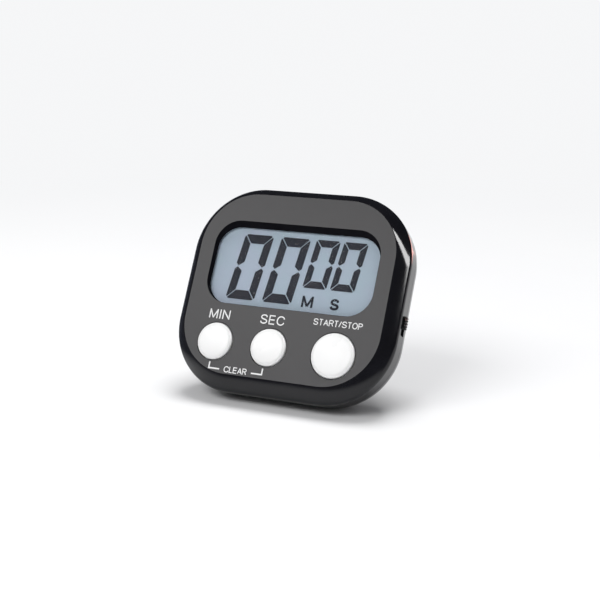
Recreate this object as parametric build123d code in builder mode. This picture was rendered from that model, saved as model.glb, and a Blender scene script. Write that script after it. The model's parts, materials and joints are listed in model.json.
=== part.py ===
from build123d import *
import os
from math import cos, radians, sin, tan

os.makedirs("parts", exist_ok=True)

# The timer stands leaning back on its rear stand. Every piece is laid out on the face plane:
# u runs to the right, v runs up the face, depth runs into the case from the front panel.
lean = 28.6
case_w = 68.0
case_h = 61.7
case_r = 20.2
case_drop = 0.9          # the outline's centre lies this far below the panel's centre
case_depth = 17.8
draft = 4.0
back_round = 9.0
bevel_depth = 3.8
bevel_soft = 1.6
panel_w = 60.8
panel_h = 54.3
panel_r = 16.2
wall = 1.6
panel_wall = 2.0
back_wall = 1.4
parting = 8.8

window_w = 51.6
window_h = 25.0
window_r = 7.4
window_v = 6.0
sheet_depth = 1.5        # the clear sheet's front
sheet_t = 0.5
sheet_w = 53.2
sheet_h = 26.2
sheet_v = 5.3

lcd_depth = 2.15
lcd_t = 1.1
lcd_w = 52.0
lcd_h = 26.4
lcd_v = 4.8
holder_w = 55.2
holder_h = 29.1
holder_v = 4.75
board_depth = 4.6
board_t = 1.0

button_v = -18.0
button_up = 1.05
button_travel = 0.8
button_gap = 0.25
buttons = {"min": (-18.9, 5.15), "sec": (-2.0, 5.15), "start_stop": (17.7, 6.15)}
flange_out = 0.45
flange_depth = 2.05
flange_t = 1.15
pad_t = 0.55

knob_v = -5.0
knob_depth = 7.0
knob_travel = 2.0
knob_len = 3.4
knob_w = 2.8
knob_out = 0.45

cell_r = 5.2
cell_v = 12.0
cell_depth = 11.2
bay_u = 24.4
bay_half = 5.55
bay_wall = 1.2
bay_front = 5.8
door_u = 24.6
door_t = 1.2
door_v = 7.0             # the lid's hinge
door_hinge_depth = 16.9
door_top = 18.3
door_knuckle = 0.9
door_pin_r = 0.6

stand_open = 45.0
stand_v = 1.5            # the stand's hinge
stand_depth = 16.5
stand_t = 2.4
stand_w = 26.0
stand_pin_r = 0.9
stand_window = 20.8
recess_w = 26.8
recess_floor = 15.1
recess_low = -26.6

magnet_r = 7.0
magnet_v = -11.5
magnet_proud = 0.2
buzzer_u = -22.6
buzzer_v = -2.6
buzzer_r = 6.5
buzzer_depth = 14.5

case_screw_spots = [(-26.5, -13.5), (26.5, -13.5), (-14.0, 22.0), (14.0, 22.0)]
board_screw_spots = [(-10.4, -18.0), (7.4, -18.0), (-29.6, 1.2), (29.6, 1.2)]

# The case rests on the round of its lower rear edge, and the stand's foot reaches the same floor.
tilt = radians(lean)
round_v = -case_drop - case_h / 2 + (parting - bevel_depth) * tan(radians(draft))
round_v += back_round / cos(radians(draft))
round_depth = case_depth - back_round
face_x = -knob_out / 2
face_y = -6.8
face_z = back_round - round_v * cos(tilt) + round_depth * sin(tilt)
out = Vector(0, -cos(tilt), sin(tilt))
up = Vector(0, sin(tilt), cos(tilt))
face = Plane(origin=(face_x, face_y, face_z), x_dir=(1, 0, 0), z_dir=out)
# Side plane: its x is v and its y is minus the depth.
side = Plane(origin=face.origin, x_dir=up, z_dir=(1, 0, 0))


def level(depth):
    return face.offset(-depth)


def spot(u, v, depth):
    return face.from_local_coords((u, v, -depth))


def case_solid(inset, front, back, bevel):
    # The case's outer shape, or its hollow when inset: chamfered front, drafted sides, round back.
    with BuildPart() as body:
        with BuildSketch(level(bevel)):
            with Locations((0, -case_drop)):
                RectangleRounded(case_w - 2 * inset, case_h - 2 * inset, case_r - inset)
        extrude(amount=-(back - bevel), taper=draft)
        fillet(body.faces().sort_by(Axis(face.origin, out))[0].edges(), back_round - inset)
        with BuildSketch(level(bevel)):
            with Locations((0, -case_drop)):
                RectangleRounded(case_w - 2 * inset, case_h - 2 * inset, case_r - inset)
        with BuildSketch(level(front)):
            RectangleRounded(panel_w - 2 * inset, panel_h - 2 * inset, panel_r - inset)
        loft(ruled=True)
        ring = body.edges().filter_by_position(
            Axis(face.origin, -out), bevel - 0.01, bevel + 0.01
        )
        fillet(ring, bevel_soft)
    return body.part


outer = case_solid(0, 0, case_depth, bevel_depth)
hollow = case_solid(wall, panel_wall, case_depth - back_wall, bevel_depth + 0.9)

with BuildPart() as front_case:
    add(outer)
    split(bisect_by=level(parting), keep=Keep.TOP)
    add(hollow, mode=Mode.SUBTRACT)
    # Bosses for the case screws and posts for the board.
    with BuildSketch(level(panel_wall - 0.4)):
        with Locations(*case_screw_spots):
            Circle(2.4)
    extrude(amount=-(parting - panel_wall + 0.4))
    with BuildSketch(level(panel_wall - 0.4)):
        with Locations(*board_screw_spots):
            Circle(1.7)
    extrude(amount=-(board_depth - panel_wall + 0.4))
    with BuildSketch(level(parting)):
        with Locations(*case_screw_spots):
            Circle(0.97)
    extrude(amount=4.0, mode=Mode.SUBTRACT)
    with BuildSketch(level(board_depth)):
        with Locations(*board_screw_spots):
            Circle(0.72)
    extrude(amount=2.6, mode=Mode.SUBTRACT)
    # The window's sloped recess, with a rebate behind it for the clear sheet.
    with BuildSketch(face):
        with Locations((0, window_v)):
            RectangleRounded(window_w, window_h, window_r)
    with BuildSketch(level(sheet_depth)):
        with Locations((0.05, window_v - 0.7)):
            RectangleRounded(window_w - 0.7, window_h - 1.6, window_r - 0.6)
    loft(ruled=True, mode=Mode.SUBTRACT)
    with BuildSketch(level(sheet_depth)):
        with Locations((0, sheet_v)):
            RectangleRounded(sheet_w + 0.1, sheet_h + 0.1, 1.0)
    extrude(amount=-1.0, mode=Mode.SUBTRACT)
    # Button holes.
    with BuildSketch(face):
        for u, r in buttons.values():
            with Locations((u, button_v)):
                Circle(r + button_gap)
    extrude(amount=-panel_wall, mode=Mode.SUBTRACT)
    # Slot for the switch knob.
    with BuildSketch(side.offset(case_w / 2 - 4)):
        with Locations((knob_v - knob_travel / 2, -knob_depth)):
            RectangleRounded(knob_len + knob_travel + 0.2, knob_w + 0.3, 0.5)
    extrude(amount=6, mode=Mode.SUBTRACT)
front_case.part.label = "front_case"
export_step(front_case.part, "parts/front_case.step")

recess_top = stand_v + stand_t / 2 + 0.3
with BuildPart() as rear_case:
    add(outer)
    split(bisect_by=level(parting), keep=Keep.BOTTOM)
    add(hollow, mode=Mode.SUBTRACT)
    # Battery bay, stand recess, screw sleeves and the buzzer's seat, all as walls on the back.
    with BuildSketch(level(bay_front - 1.0)):
        with Locations((0, cell_v - 0.1)):
            Rectangle(2 * bay_u + 4.4, 2 * bay_half + 2 * bay_wall + 0.4)
    extrude(amount=-(case_depth - bay_front + 1.0))
    with BuildSketch(level(recess_floor - back_wall)):
        with Locations((0, (recess_top + recess_low) / 2)):
            Rectangle(recess_w + 4.8, recess_top - recess_low + 3.2)
    extrude(amount=-(case_depth - recess_floor + back_wall))
    with BuildSketch(level(parting + 0.1)):
        with Locations(*case_screw_spots):
            Circle(3.0)
    extrude(amount=-(case_depth - parting))
    with BuildSketch(level(buzzer_depth + 0.25)):
        with Locations((buzzer_u, buzzer_v)):
            Circle(buzzer_r)
            Circle(buzzer_r - 0.9, mode=Mode.SUBTRACT)
    extrude(amount=-(case_depth - buzzer_depth - 0.8))
    # Tongue that centres the two shells, left out beside the switch.
    with BuildSketch(level(parting + 2.4)):
        with Locations((0, -case_drop)):
            for gap, mode in ((2.0, Mode.ADD), (2.9, Mode.SUBTRACT)):
                RectangleRounded(case_w - 2 * gap, case_h - 2 * gap, case_r - gap, mode=mode)
        with Locations((case_w / 2 - wall - 1, knob_v - 1)):
            Rectangle(6, 14, mode=Mode.SUBTRACT)
    extrude(amount=3.6)
    add(outer, mode=Mode.INTERSECT)
    # The bay's hollow, the lid's seat and the groove of its hinge.
    with BuildSketch(level(bay_front)):
        with Locations((0, cell_v)):
            Rectangle(2 * bay_u, 2 * bay_half)
    extrude(amount=-case_depth, mode=Mode.SUBTRACT)
    with BuildSketch(level(case_depth - door_t - 0.05)):
        with Locations((0, (door_v - 1.1 + door_top + 0.2) / 2)):
            Rectangle(2 * door_u + 0.4, door_top + 0.2 - door_v + 1.1)
    extrude(amount=-2 * door_t, mode=Mode.SUBTRACT)
    with BuildSketch(side):
        with Locations((door_v, -door_hinge_depth)):
            Circle(door_knuckle + 0.2)
    extrude(amount=door_u + 0.2, both=True, mode=Mode.SUBTRACT)
    with BuildSketch(side):
        with Locations((door_v, -door_hinge_depth)):
            Circle(door_pin_r + 0.06)
    extrude(amount=door_u + 1.4, both=True, mode=Mode.SUBTRACT)
    # The stand's recess and hinge holes.
    with BuildSketch(level(recess_floor)):
        with Locations((0, (recess_top + recess_low) / 2)):
            RectangleRounded(recess_w, recess_top - recess_low, 0.8)
    extrude(amount=-5, mode=Mode.SUBTRACT)
    with BuildSketch(side):
        with Locations((stand_v, -stand_depth)):
            Circle(stand_pin_r + 0.07)
    extrude(amount=stand_w / 2 + 1.4, both=True, mode=Mode.SUBTRACT)
    # Ring that holds the magnet.
    with BuildSketch(level(recess_floor - 0.2)):
        with Locations((0, magnet_v)):
            Circle(magnet_r + 1.1)
            Circle(magnet_r + 0.05, mode=Mode.SUBTRACT)
    extrude(amount=-(case_depth - recess_floor - 0.1))
    # Screw holes with sunk heads, sound holes and lead holes.
    with BuildSketch(level(parting)):
        with Locations(*case_screw_spots):
            Circle(1.15)
    extrude(amount=-case_depth, mode=Mode.SUBTRACT)
    with BuildSketch(level(12.6)):
        with Locations(*case_screw_spots):
            Circle(2.1)
    extrude(amount=-case_depth, mode=Mode.SUBTRACT)
    with BuildSketch(level(buzzer_depth + 0.5)):
        with Locations((buzzer_u, buzzer_v)):
            Circle(0.6)
            with PolarLocations(2.6, 6):
                Circle(0.6)
    extrude(amount=-case_depth, mode=Mode.SUBTRACT)
    with BuildSketch(Plane(origin=spot(0, cell_v, 9.0), x_dir=(1, 0, 0), z_dir=-up)):
        with Locations((-bay_u + 0.2, 0), (bay_u - 0.25, 0)):
            Circle(0.8)
    extrude(amount=bay_half + 4, mode=Mode.SUBTRACT)
rear_case.part.label = "rear_case"
export_step(rear_case.part, "parts/rear_case.step")

with BuildPart() as display_window:
    with BuildSketch(level(sheet_depth)):
        with Locations((0, sheet_v)):
            RectangleRounded(sheet_w, sheet_h, 0.95)
    extrude(amount=-sheet_t)
display_window.part.label = "display_window"
export_step(display_window.part, "parts/display_window.step")

with BuildPart() as lcd_glass:
    with BuildSketch(level(lcd_depth)):
        with Locations((0, lcd_v)):
            Rectangle(lcd_w, lcd_h)
    extrude(amount=-lcd_t)
lcd_glass.part.label = "lcd_glass"
export_step(lcd_glass.part, "parts/lcd_glass.step")

with BuildPart() as lcd_reflector:
    with BuildSketch(level(lcd_depth + lcd_t + 0.03)):
        with Locations((0, lcd_v + 1.2)):
            Rectangle(lcd_w - 0.4, lcd_h - 2.6)
    extrude(amount=-0.2)
lcd_reflector.part.label = "lcd_reflector"
export_step(lcd_reflector.part, "parts/lcd_reflector.step")

with BuildPart() as lcd_holder:
    with BuildSketch(level(sheet_depth + sheet_t + 0.05)):
        with Locations((0, holder_v)):
            RectangleRounded(holder_w, holder_h, 3.5)
    extrude(amount=-(board_depth - sheet_depth - sheet_t - 0.1))
    with BuildSketch(level(sheet_depth)):
        with Locations((0, lcd_v)):
            Rectangle(lcd_w + 0.1, lcd_h + 0.1)
    extrude(amount=-(lcd_depth + lcd_t + 0.25 - sheet_depth), mode=Mode.SUBTRACT)
    with BuildSketch(level(sheet_depth)):
        with Locations((0, lcd_v + 1.4)):
            Rectangle(lcd_w - 3, lcd_h - 5.4)
        with Locations((0, lcd_v - lcd_h / 2 + 1.2)):
            Rectangle(lcd_w - 4.6, 2.1)
    extrude(amount=-board_depth, mode=Mode.SUBTRACT)
lcd_holder.part.label = "lcd_holder"
export_step(lcd_holder.part, "parts/lcd_holder.step")

with BuildPart() as contact_strip:
    with BuildSketch(level(lcd_depth + lcd_t + 0.02)):
        with Locations((0, lcd_v - lcd_h / 2 + 1.2)):
            Rectangle(lcd_w - 5, 1.8)
    extrude(amount=-(board_depth - lcd_depth - lcd_t - 0.04))
contact_strip.part.label = "contact_strip"
export_step(contact_strip.part, "parts/contact_strip.step")

with BuildPart() as circuit_board:
    with BuildSketch(level(board_depth)):
        with Locations((0, -case_drop)):
            RectangleRounded(62.8, 56.4, 16.5)
        with Locations((0, 20)):
            Rectangle(80, 30.6, mode=Mode.SUBTRACT)
        with Locations((case_w / 2 - 0.6, -6.2)):
            Rectangle(6.2, 12.2, mode=Mode.SUBTRACT)
        with Locations(*case_screw_spots[:2]):
            Circle(2.6, mode=Mode.SUBTRACT)
        with Locations(*board_screw_spots):
            Circle(0.9, mode=Mode.SUBTRACT)
    extrude(amount=-board_t)
circuit_board.part.label = "circuit_board"
export_step(circuit_board.part, "parts/circuit_board.step")

board_back = board_depth + board_t
with BuildPart() as chip_cover:
    with BuildSketch(level(board_back + 0.01)):
        with Locations((-6.0, -5.0)):
            Circle(4.2)
    extrude(amount=-1.2)
    fillet(chip_cover.edges().sort_by(Axis(face.origin, out))[0], 0.9)
chip_cover.part.label = "chip_cover"
export_step(chip_cover.part, "parts/chip_cover.step")

with BuildPart() as crystal:
    with BuildSketch(side.offset(5.0)):
        with Locations((-8.0, -board_back - 1.05)):
            Circle(1.0)
    extrude(amount=6.0)
    fillet(crystal.edges().sort_by(Axis.X)[-1], 0.4)
crystal.part.label = "crystal"
export_step(crystal.part, "parts/crystal.step")

with BuildPart() as board_components:
    with BuildSketch(level(board_back + 0.01)):
        with Locations((3.0, -2.5), (3.0, -4.5), (14.0, -3.0), (14.0, -5.2)):
            Rectangle(1.6, 0.8)
        with Locations((-14.5, -3.0), (-14.5, -6.0), (18.5, -4.0)):
            Rectangle(1.25, 2.0)
    extrude(amount=-0.6)
board_components.part.label = "board_components"
export_step(board_components.part, "parts/board_components.step")

with BuildPart() as key_mat:
    with BuildSketch(level(board_depth - 0.35)):
        with Locations((-0.6, button_v)):
            RectangleRounded(50.0, 14.6, 4.0)
        for u, r in buttons.values():
            with Locations((u, button_v)):
                Circle(r - 1.4, mode=Mode.SUBTRACT)
        with Locations(*case_screw_spots[:2]):
            Circle(2.8, mode=Mode.SUBTRACT)
        with Locations(*board_screw_spots[:2]):
            Circle(2.1, mode=Mode.SUBTRACT)
    extrude(amount=-0.34)
key_mat.part.label = "key_mat"
export_step(key_mat.part, "parts/key_mat.step")


def push_button(name, u, r):
    # A domed cap with a flange under the panel, hollow behind, and a rubber pad on its stem.
    foot = flange_depth + flange_t
    centre = spot(u, button_v, 0)
    section = Plane(origin=centre, x_dir=(1, 0, 0), z_dir=-up)
    with BuildPart() as cap:
        with BuildSketch(section):
            with BuildLine():
                crown = ThreePointArc((0, button_up), (r * 0.5, button_up - 0.05), (r - 0.45, button_up - 0.2))
                edge = TangentArc(crown @ 1, (r, button_up - 0.65), tangent=crown % 1)
                Polyline(
                    edge @ 1,
                    (r, -flange_depth),
                    (r + flange_out, -flange_depth),
                    (r + flange_out, -foot),
                    (r - 1.3, -foot),
                    (r - 1.3, -0.3),
                    (2.6, -0.3),
                    (2.6, -foot),
                    (0, -foot),
                    (0, button_up),
                )
            make_face()
        revolve(axis=Axis(centre, out))
    cap.part.label = name + "_button"
    export_step(cap.part, "parts/" + name + "_button.step")
    with BuildPart() as pad:
        with BuildSketch(level(foot)):
            with Locations((u, button_v)):
                Circle(2.8)
        extrude(amount=-pad_t)
    pad.part.label = name + "_key_pad"
    export_step(pad.part, "parts/" + name + "_key_pad.step")


for name, (u, r) in buttons.items():
    push_button(name, u, r)

with BuildPart() as switch_knob:
    # Plate behind the wall, neck through the slot, ribs outside, and prongs around the lever.
    with BuildSketch(side.offset(case_w / 2 - 3.4)):
        with Locations((knob_v, -knob_depth)):
            Rectangle(9.6, 4.8)
    extrude(amount=1.0)
    with BuildSketch(side.offset(case_w / 2 - 2.6)):
        with Locations((knob_v, -knob_depth)):
            RectangleRounded(knob_len, knob_w, 0.4)
    extrude(amount=2.6 + knob_out)
    with BuildSketch(side.offset(case_w / 2 + knob_out - 0.45)):
        with Locations((knob_v, -knob_depth)):
            with GridLocations(0.8, 1, 4, 1):
                Rectangle(0.35, 4)
    extrude(amount=1, mode=Mode.SUBTRACT)
    with BuildSketch(side.offset(case_w / 2 - 4.4)):
        with Locations((knob_v - 1.6, -knob_depth - 0.3), (knob_v + 1.6, -knob_depth - 0.3)):
            Rectangle(0.9, 1.8)
    extrude(amount=1.1)
switch_knob.part.label = "switch_knob"
export_step(switch_knob.part, "parts/switch_knob.step")

switch_depth = board_back + 0.02
with BuildPart() as slide_switch:
    with BuildSketch(level(switch_depth)):
        with Locations((27.2, knob_v - knob_travel / 2)):
            Rectangle(3.8, 8.4)
    extrude(amount=-3.2)
    with BuildSketch(side.offset(27.5)):
        with Locations((knob_v - knob_travel / 2, -knob_depth - 0.3)):
            Rectangle(4.4, 1.6)
    extrude(amount=3, mode=Mode.SUBTRACT)
slide_switch.part.label = "slide_switch"
export_step(slide_switch.part, "parts/slide_switch.step")

with BuildPart() as switch_lever:
    with BuildSketch(side.offset(27.6)):
        with Locations((knob_v, -knob_depth - 0.3)):
            Rectangle(2.1, 1.3)
    extrude(amount=2.8)
switch_lever.part.label = "switch_lever"
export_step(switch_lever.part, "parts/switch_lever.step")

with BuildPart() as buzzer_plate:
    with BuildSketch(level(buzzer_depth)):
        with Locations((buzzer_u, buzzer_v)):
            Circle(buzzer_r)
    extrude(amount=-0.24)
buzzer_plate.part.label = "buzzer_plate"
export_step(buzzer_plate.part, "parts/buzzer_plate.step")

with BuildPart() as buzzer_ceramic:
    with BuildSketch(level(buzzer_depth - 0.2)):
        with Locations((buzzer_u, buzzer_v)):
            Circle(4.6)
    extrude(amount=-0.2)
buzzer_ceramic.part.label = "buzzer_ceramic"
export_step(buzzer_ceramic.part, "parts/buzzer_ceramic.step")

can_start = -20.5
can_end = 23.0
with BuildPart() as battery:
    with BuildSketch(side.offset(can_start)):
        with Locations((cell_v, -cell_depth)):
            Circle(cell_r)
    extrude(amount=can_end - can_start)
    fillet(battery.edges(), 0.4)
    with BuildSketch(side.offset(can_end - 0.1)):
        with Locations((cell_v, -cell_depth)):
            Circle(1.9)
    extrude(amount=1.0)
battery.part.label = "battery"
export_step(battery.part, "parts/battery.step")

with BuildPart() as spring_plate:
    with BuildSketch(side.offset(-bay_u + 0.05)):
        with Locations((cell_v, -cell_depth)):
            Rectangle(9.4, 9.0)
    extrude(amount=0.3)
spring_plate.part.label = "spring_plate"
export_step(spring_plate.part, "parts/spring_plate.step")

with BuildPart() as battery_contact:
    with BuildSketch(side.offset(bay_u - 0.35)):
        with Locations((cell_v, -cell_depth)):
            Rectangle(9.4, 9.0)
    extrude(amount=0.3)
battery_contact.part.label = "battery_contact"
export_step(battery_contact.part, "parts/battery_contact.step")

coil_start = spot(-bay_u + 0.72, cell_v, cell_depth)
with BuildPart() as battery_spring:
    with BuildLine() as coil:
        Helix(pitch=0.95, height=2.75, radius=3.8, center=coil_start, direction=(1, 0, 0), cone_angle=-20)
    with BuildSketch(Plane(origin=coil.line @ 0, z_dir=coil.line % 0)):
        Circle(0.33)
    sweep(path=coil.line, is_frenet=True)
battery_spring.part.label = "battery_spring"
export_step(battery_spring.part, "parts/battery_spring.step")

with BuildPart() as door_blank:
    with BuildSketch(level(case_depth - door_t)):
        with Locations((0, (door_v + door_top) / 2)):
            Rectangle(2 * door_u, door_top - door_v)
    extrude(amount=-2 * door_t)
    with BuildSketch(side):
        with Locations((door_v, -door_hinge_depth)):
            Circle(door_knuckle)
    extrude(amount=door_u, both=True)

with BuildPart() as battery_door:
    add(door_blank.part)
    add(outer, mode=Mode.INTERSECT)
    with BuildSketch(side):
        with Locations((door_v, -door_hinge_depth)):
            Circle(door_pin_r)
    extrude(amount=door_u + 1.2, both=True)
    # Finger notch at the free edge.
    with BuildSketch(level(case_depth - 0.5)):
        with Locations((0, door_top)):
            SlotOverall(11, 2.4)
    extrude(amount=-1, mode=Mode.SUBTRACT)
battery_door.part.label = "battery_door"
export_step(battery_door.part, "parts/battery_door.step")

# The stand is drawn where it stands open; folded, it lies in the recess.
swing = radians(stand_open)
stand_up = up * cos(swing) + out * sin(swing)
stand_out = out * cos(swing) - up * sin(swing)
stand_axis = spot(0, stand_v, stand_depth)
splay = radians(stand_open - lean)
stand_len = (stand_axis.Z - stand_t / 2) / cos(splay)
stand_side = Plane(origin=stand_axis, x_dir=stand_up, z_dir=(1, 0, 0))
stand_face = Plane(origin=stand_axis, x_dir=(1, 0, 0), z_dir=stand_out)
with BuildPart() as stand:
    with BuildSketch(stand_side):
        with Locations((-stand_len / 2, 0)):
            SlotCenterToCenter(stand_len, stand_t)
    extrude(amount=stand_w / 2, both=True)
    with BuildSketch(stand_face.offset(-stand_t)):
        with Locations((0, -stand_len / 2)):
            RectangleRounded(stand_w, stand_len + stand_t, 1.19)
    extrude(amount=2 * stand_t, mode=Mode.INTERSECT)
    with BuildSketch(stand_face.offset(-stand_t)):
        with Locations((0, stand_window / -2 - 0.9)):
            RectangleRounded(stand_w - 8, stand_window, 3)
    extrude(amount=2 * stand_t, mode=Mode.SUBTRACT)
    with BuildSketch(stand_side):
        Circle(stand_pin_r)
    extrude(amount=stand_w / 2 + 1.2, both=True)
stand.part.label = "stand"
export_step(stand.part, "parts/stand.step")

with BuildPart() as magnet:
    with BuildSketch(level(recess_floor + 0.02)):
        with Locations((0, magnet_v)):
            Circle(magnet_r)
    extrude(amount=-(case_depth + magnet_proud - recess_floor - 0.02))
    chamfer(magnet.edges(), 0.25)
magnet.part.label = "magnet"
export_step(magnet.part, "parts/magnet.step")


def screws(name, spots, seat, head_r, head_t, shank_r, shank_len):
    # Pan heads with a cross recess.
    with BuildPart() as group:
        with BuildSketch(level(seat)):
            with Locations(*spots):
                Circle(head_r)
        extrude(amount=-head_t)
        fillet(group.faces().sort_by(Axis(face.origin, out)).group_by(Axis(face.origin, out))[0].edges(), 0.3)
        with BuildSketch(level(seat)):
            with Locations(*spots):
                Circle(shank_r)
        extrude(amount=shank_len)
        with BuildSketch(level(seat + head_t / 2)):
            with Locations(*spots):
                Rectangle(head_r * 1.2, 0.4)
                Rectangle(0.4, head_r * 1.2)
        extrude(amount=-head_t, mode=Mode.SUBTRACT)
    group.part.label = name
    export_step(group.part, "parts/" + name + ".step")


screws("case_screws", case_screw_spots, 12.6, 1.9, 1.4, 0.95, 7.4)
screws("board_screws", board_screw_spots, board_back + 0.01, 1.4, 0.8, 0.7, 3.2)


def leads(name, routes, radius):
    # Insulated wires, each a run of straights joined by tangent arcs.
    with BuildPart() as group:
        for route in routes:
            with BuildLine(face) as path:
                FilletPolyline(*route, radius=1.5)
            with BuildSketch(Plane(origin=path.line @ 0, z_dir=path.line % 0)):
                Circle(radius)
            sweep(path=path.line)
    group.part.label = name
    export_step(group.part, "parts/" + name + ".step")


lead_v = 3.4
leads(
    "battery_leads",
    [[(u, 7.2, -9), (u, lead_v, -9), (u, lead_v, -board_back - 0.05)] for u in (-bay_u + 0.2, bay_u - 0.25)],
    0.5,
)
leads(
    "buzzer_leads",
    [
        [(-24.4, v, -buzzer_depth + 0.25 + gap), (-24.4, v, -10), (-19, v, -10), (-19, v, -board_back - 0.05)]
        for v, gap in ((-1.6, 0), (-4.0, 0))
    ],
    0.4,
)
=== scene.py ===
import json
import math
import bmesh
import bpy
import numpy as np
from mathutils import Matrix, Vector


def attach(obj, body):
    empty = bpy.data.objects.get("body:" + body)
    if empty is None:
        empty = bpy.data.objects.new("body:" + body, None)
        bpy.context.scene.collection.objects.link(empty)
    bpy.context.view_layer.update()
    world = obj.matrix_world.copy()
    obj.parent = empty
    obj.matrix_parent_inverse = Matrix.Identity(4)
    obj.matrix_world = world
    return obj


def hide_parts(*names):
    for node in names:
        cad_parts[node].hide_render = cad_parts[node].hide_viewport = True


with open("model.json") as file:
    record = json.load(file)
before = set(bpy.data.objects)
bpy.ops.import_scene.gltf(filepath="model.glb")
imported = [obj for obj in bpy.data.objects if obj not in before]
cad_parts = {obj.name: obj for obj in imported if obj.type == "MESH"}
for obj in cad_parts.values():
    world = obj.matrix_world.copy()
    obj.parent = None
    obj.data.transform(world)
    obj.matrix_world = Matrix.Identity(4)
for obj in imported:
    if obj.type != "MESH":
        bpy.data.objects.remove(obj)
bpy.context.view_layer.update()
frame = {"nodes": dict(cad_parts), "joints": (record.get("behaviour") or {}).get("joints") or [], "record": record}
joints = {j["name"]: j for j in frame["joints"]}
nodes = frame["nodes"]
mm = 0.001

# The face's own directions: right, up the face, and out of it along the buttons' travel.
faceOut = -np.array(joints["min_press"]["axis"], float)
faceRight = np.array([1.0, 0.0, 0.0])
faceUp = np.cross(faceOut, faceRight)
faceAxes = np.array([faceRight, faceUp, faceOut])


def meshPoints(obj):
    # every vertex of an object as one array
    flat = np.empty(len(obj.data.vertices) * 3)
    obj.data.vertices.foreach_get("co", flat)
    return flat.reshape(-1, 3)


def faceSpan(name):
    # lowest and highest place of a node along right, up and out
    local = (meshPoints(nodes[name]) - panelCentre) @ faceAxes.T
    return local.min(axis=0), local.max(axis=0)


panelLift = 0.9 * mm        # the panel sits this far above the middle of the case's outline
panelCentre = np.zeros(3)
lowCase, highCase = faceSpan("front_case")
caseMiddle = lowCase / 2 + highCase / 2
panelCentre = np.array([caseMiddle[0], caseMiddle[1] + panelLift, highCase[2]]) @ faceAxes


def onFace(u, v, w):
    # face coordinates to the shared frame
    u, v, w = np.broadcast_arrays(np.asarray(u, float), np.asarray(v, float), np.asarray(w, float))
    return panelCentre + np.stack([u, v, w], axis=-1) @ faceAxes


# camera, lamps and the helpers every piece uses
cameraSet = dict(
    azimuth=24.28, elevation=14.01, distance=340.7 * mm,
    shiftRight=3.52 * mm, shiftUp=-3.62 * mm, lens=72, sensor=36,
)


def makeCamera(s):
    # a level camera looking along azimuth and elevation, moved sideways and up in its own plane
    az, el = math.radians(s["azimuth"]), math.radians(s["elevation"])
    back = np.array([math.sin(az) * math.cos(el), -math.cos(az) * math.cos(el), math.sin(el)])
    right = np.array([math.cos(az), math.sin(az), 0.0])
    up = np.cross(back, right)
    place = panelCentre + s["shiftRight"] * right + s["shiftUp"] * up + s["distance"] * back
    data = bpy.data.cameras.new("camera")
    data.lens = s["lens"]
    data.sensor_width = s["sensor"]
    data.clip_start = 0.01
    cam = bpy.data.objects.new("camera", data)
    bpy.context.scene.collection.objects.link(cam)
    turn = Matrix([right, up, back]).transposed().to_4x4()
    cam.matrix_world = Matrix.Translation(Vector(place)) @ turn
    bpy.context.scene.camera = cam


def softBox(name, place, target, size, power, colour=(1, 1, 1), lights=True, mirrored=True):
    # a rectangular lamp aimed at a point; it can light matt surfaces, be mirrored by glossy ones, or both
    data = bpy.data.lights.new(name, "AREA")
    data.shape = "RECTANGLE"
    data.size, data.size_y = size
    data.energy = power
    data.color = colour
    lamp = bpy.data.objects.new(name, data)
    lamp.visible_camera = False
    lamp.visible_diffuse = lights
    lamp.visible_glossy = mirrored
    bpy.context.scene.collection.objects.link(lamp)
    aim = (Vector(target) - Vector(place)).to_track_quat("-Z", "Y").to_matrix().to_4x4()
    lamp.matrix_world = Matrix.Translation(Vector(place)) @ aim


def gridMesh(name, points, closed=False, caps=(False, False)):
    # a surface from an array of points, rows along the first index and a loop or line along the second
    rows, cols = points.shape[:2]
    idx = np.arange(rows * cols).reshape(rows, cols)
    a, b = idx[:-1], idx[1:]
    if closed:
        quads = np.stack([a, b, np.roll(b, -1, axis=1), np.roll(a, -1, axis=1)], axis=-1)
    else:
        quads = np.stack([a[:, :-1], b[:, :-1], b[:, 1:], a[:, 1:]], axis=-1)
    faces = quads.reshape(-1, 4).tolist()
    if caps[0]:
        faces.append(idx[0].tolist())
    if caps[1]:
        faces.append(idx[-1][::-1].tolist())
    mesh = bpy.data.meshes.new(name)
    mesh.from_pydata(points.reshape(-1, 3), [], faces)
    return mesh


def addPiece(name, mesh, material, body=None, smooth=True):
    # an object at the origin with its place in its mesh
    obj = bpy.data.objects.new(name, mesh)
    bpy.context.scene.collection.objects.link(obj)
    mesh.materials.clear()
    mesh.materials.append(material)
    if smooth:
        mesh.shade_smooth()
    else:
        mesh.shade_flat()
    if body:
        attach(obj, body)
    return obj


def newGroup(name, inputs, outputs):
    # an empty shader node group with its named inputs and outputs
    group = bpy.data.node_groups.new(name, "ShaderNodeTree")
    for label, kind, value in inputs:
        socket = group.interface.new_socket(label, in_out="INPUT", socket_type=kind)
        socket.default_value = value
    for label, kind in outputs:
        group.interface.new_socket(label, in_out="OUTPUT", socket_type=kind)
    ins = group.nodes.new("NodeGroupInput")
    outs = group.nodes.new("NodeGroupOutput")
    return group, ins, outs


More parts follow.
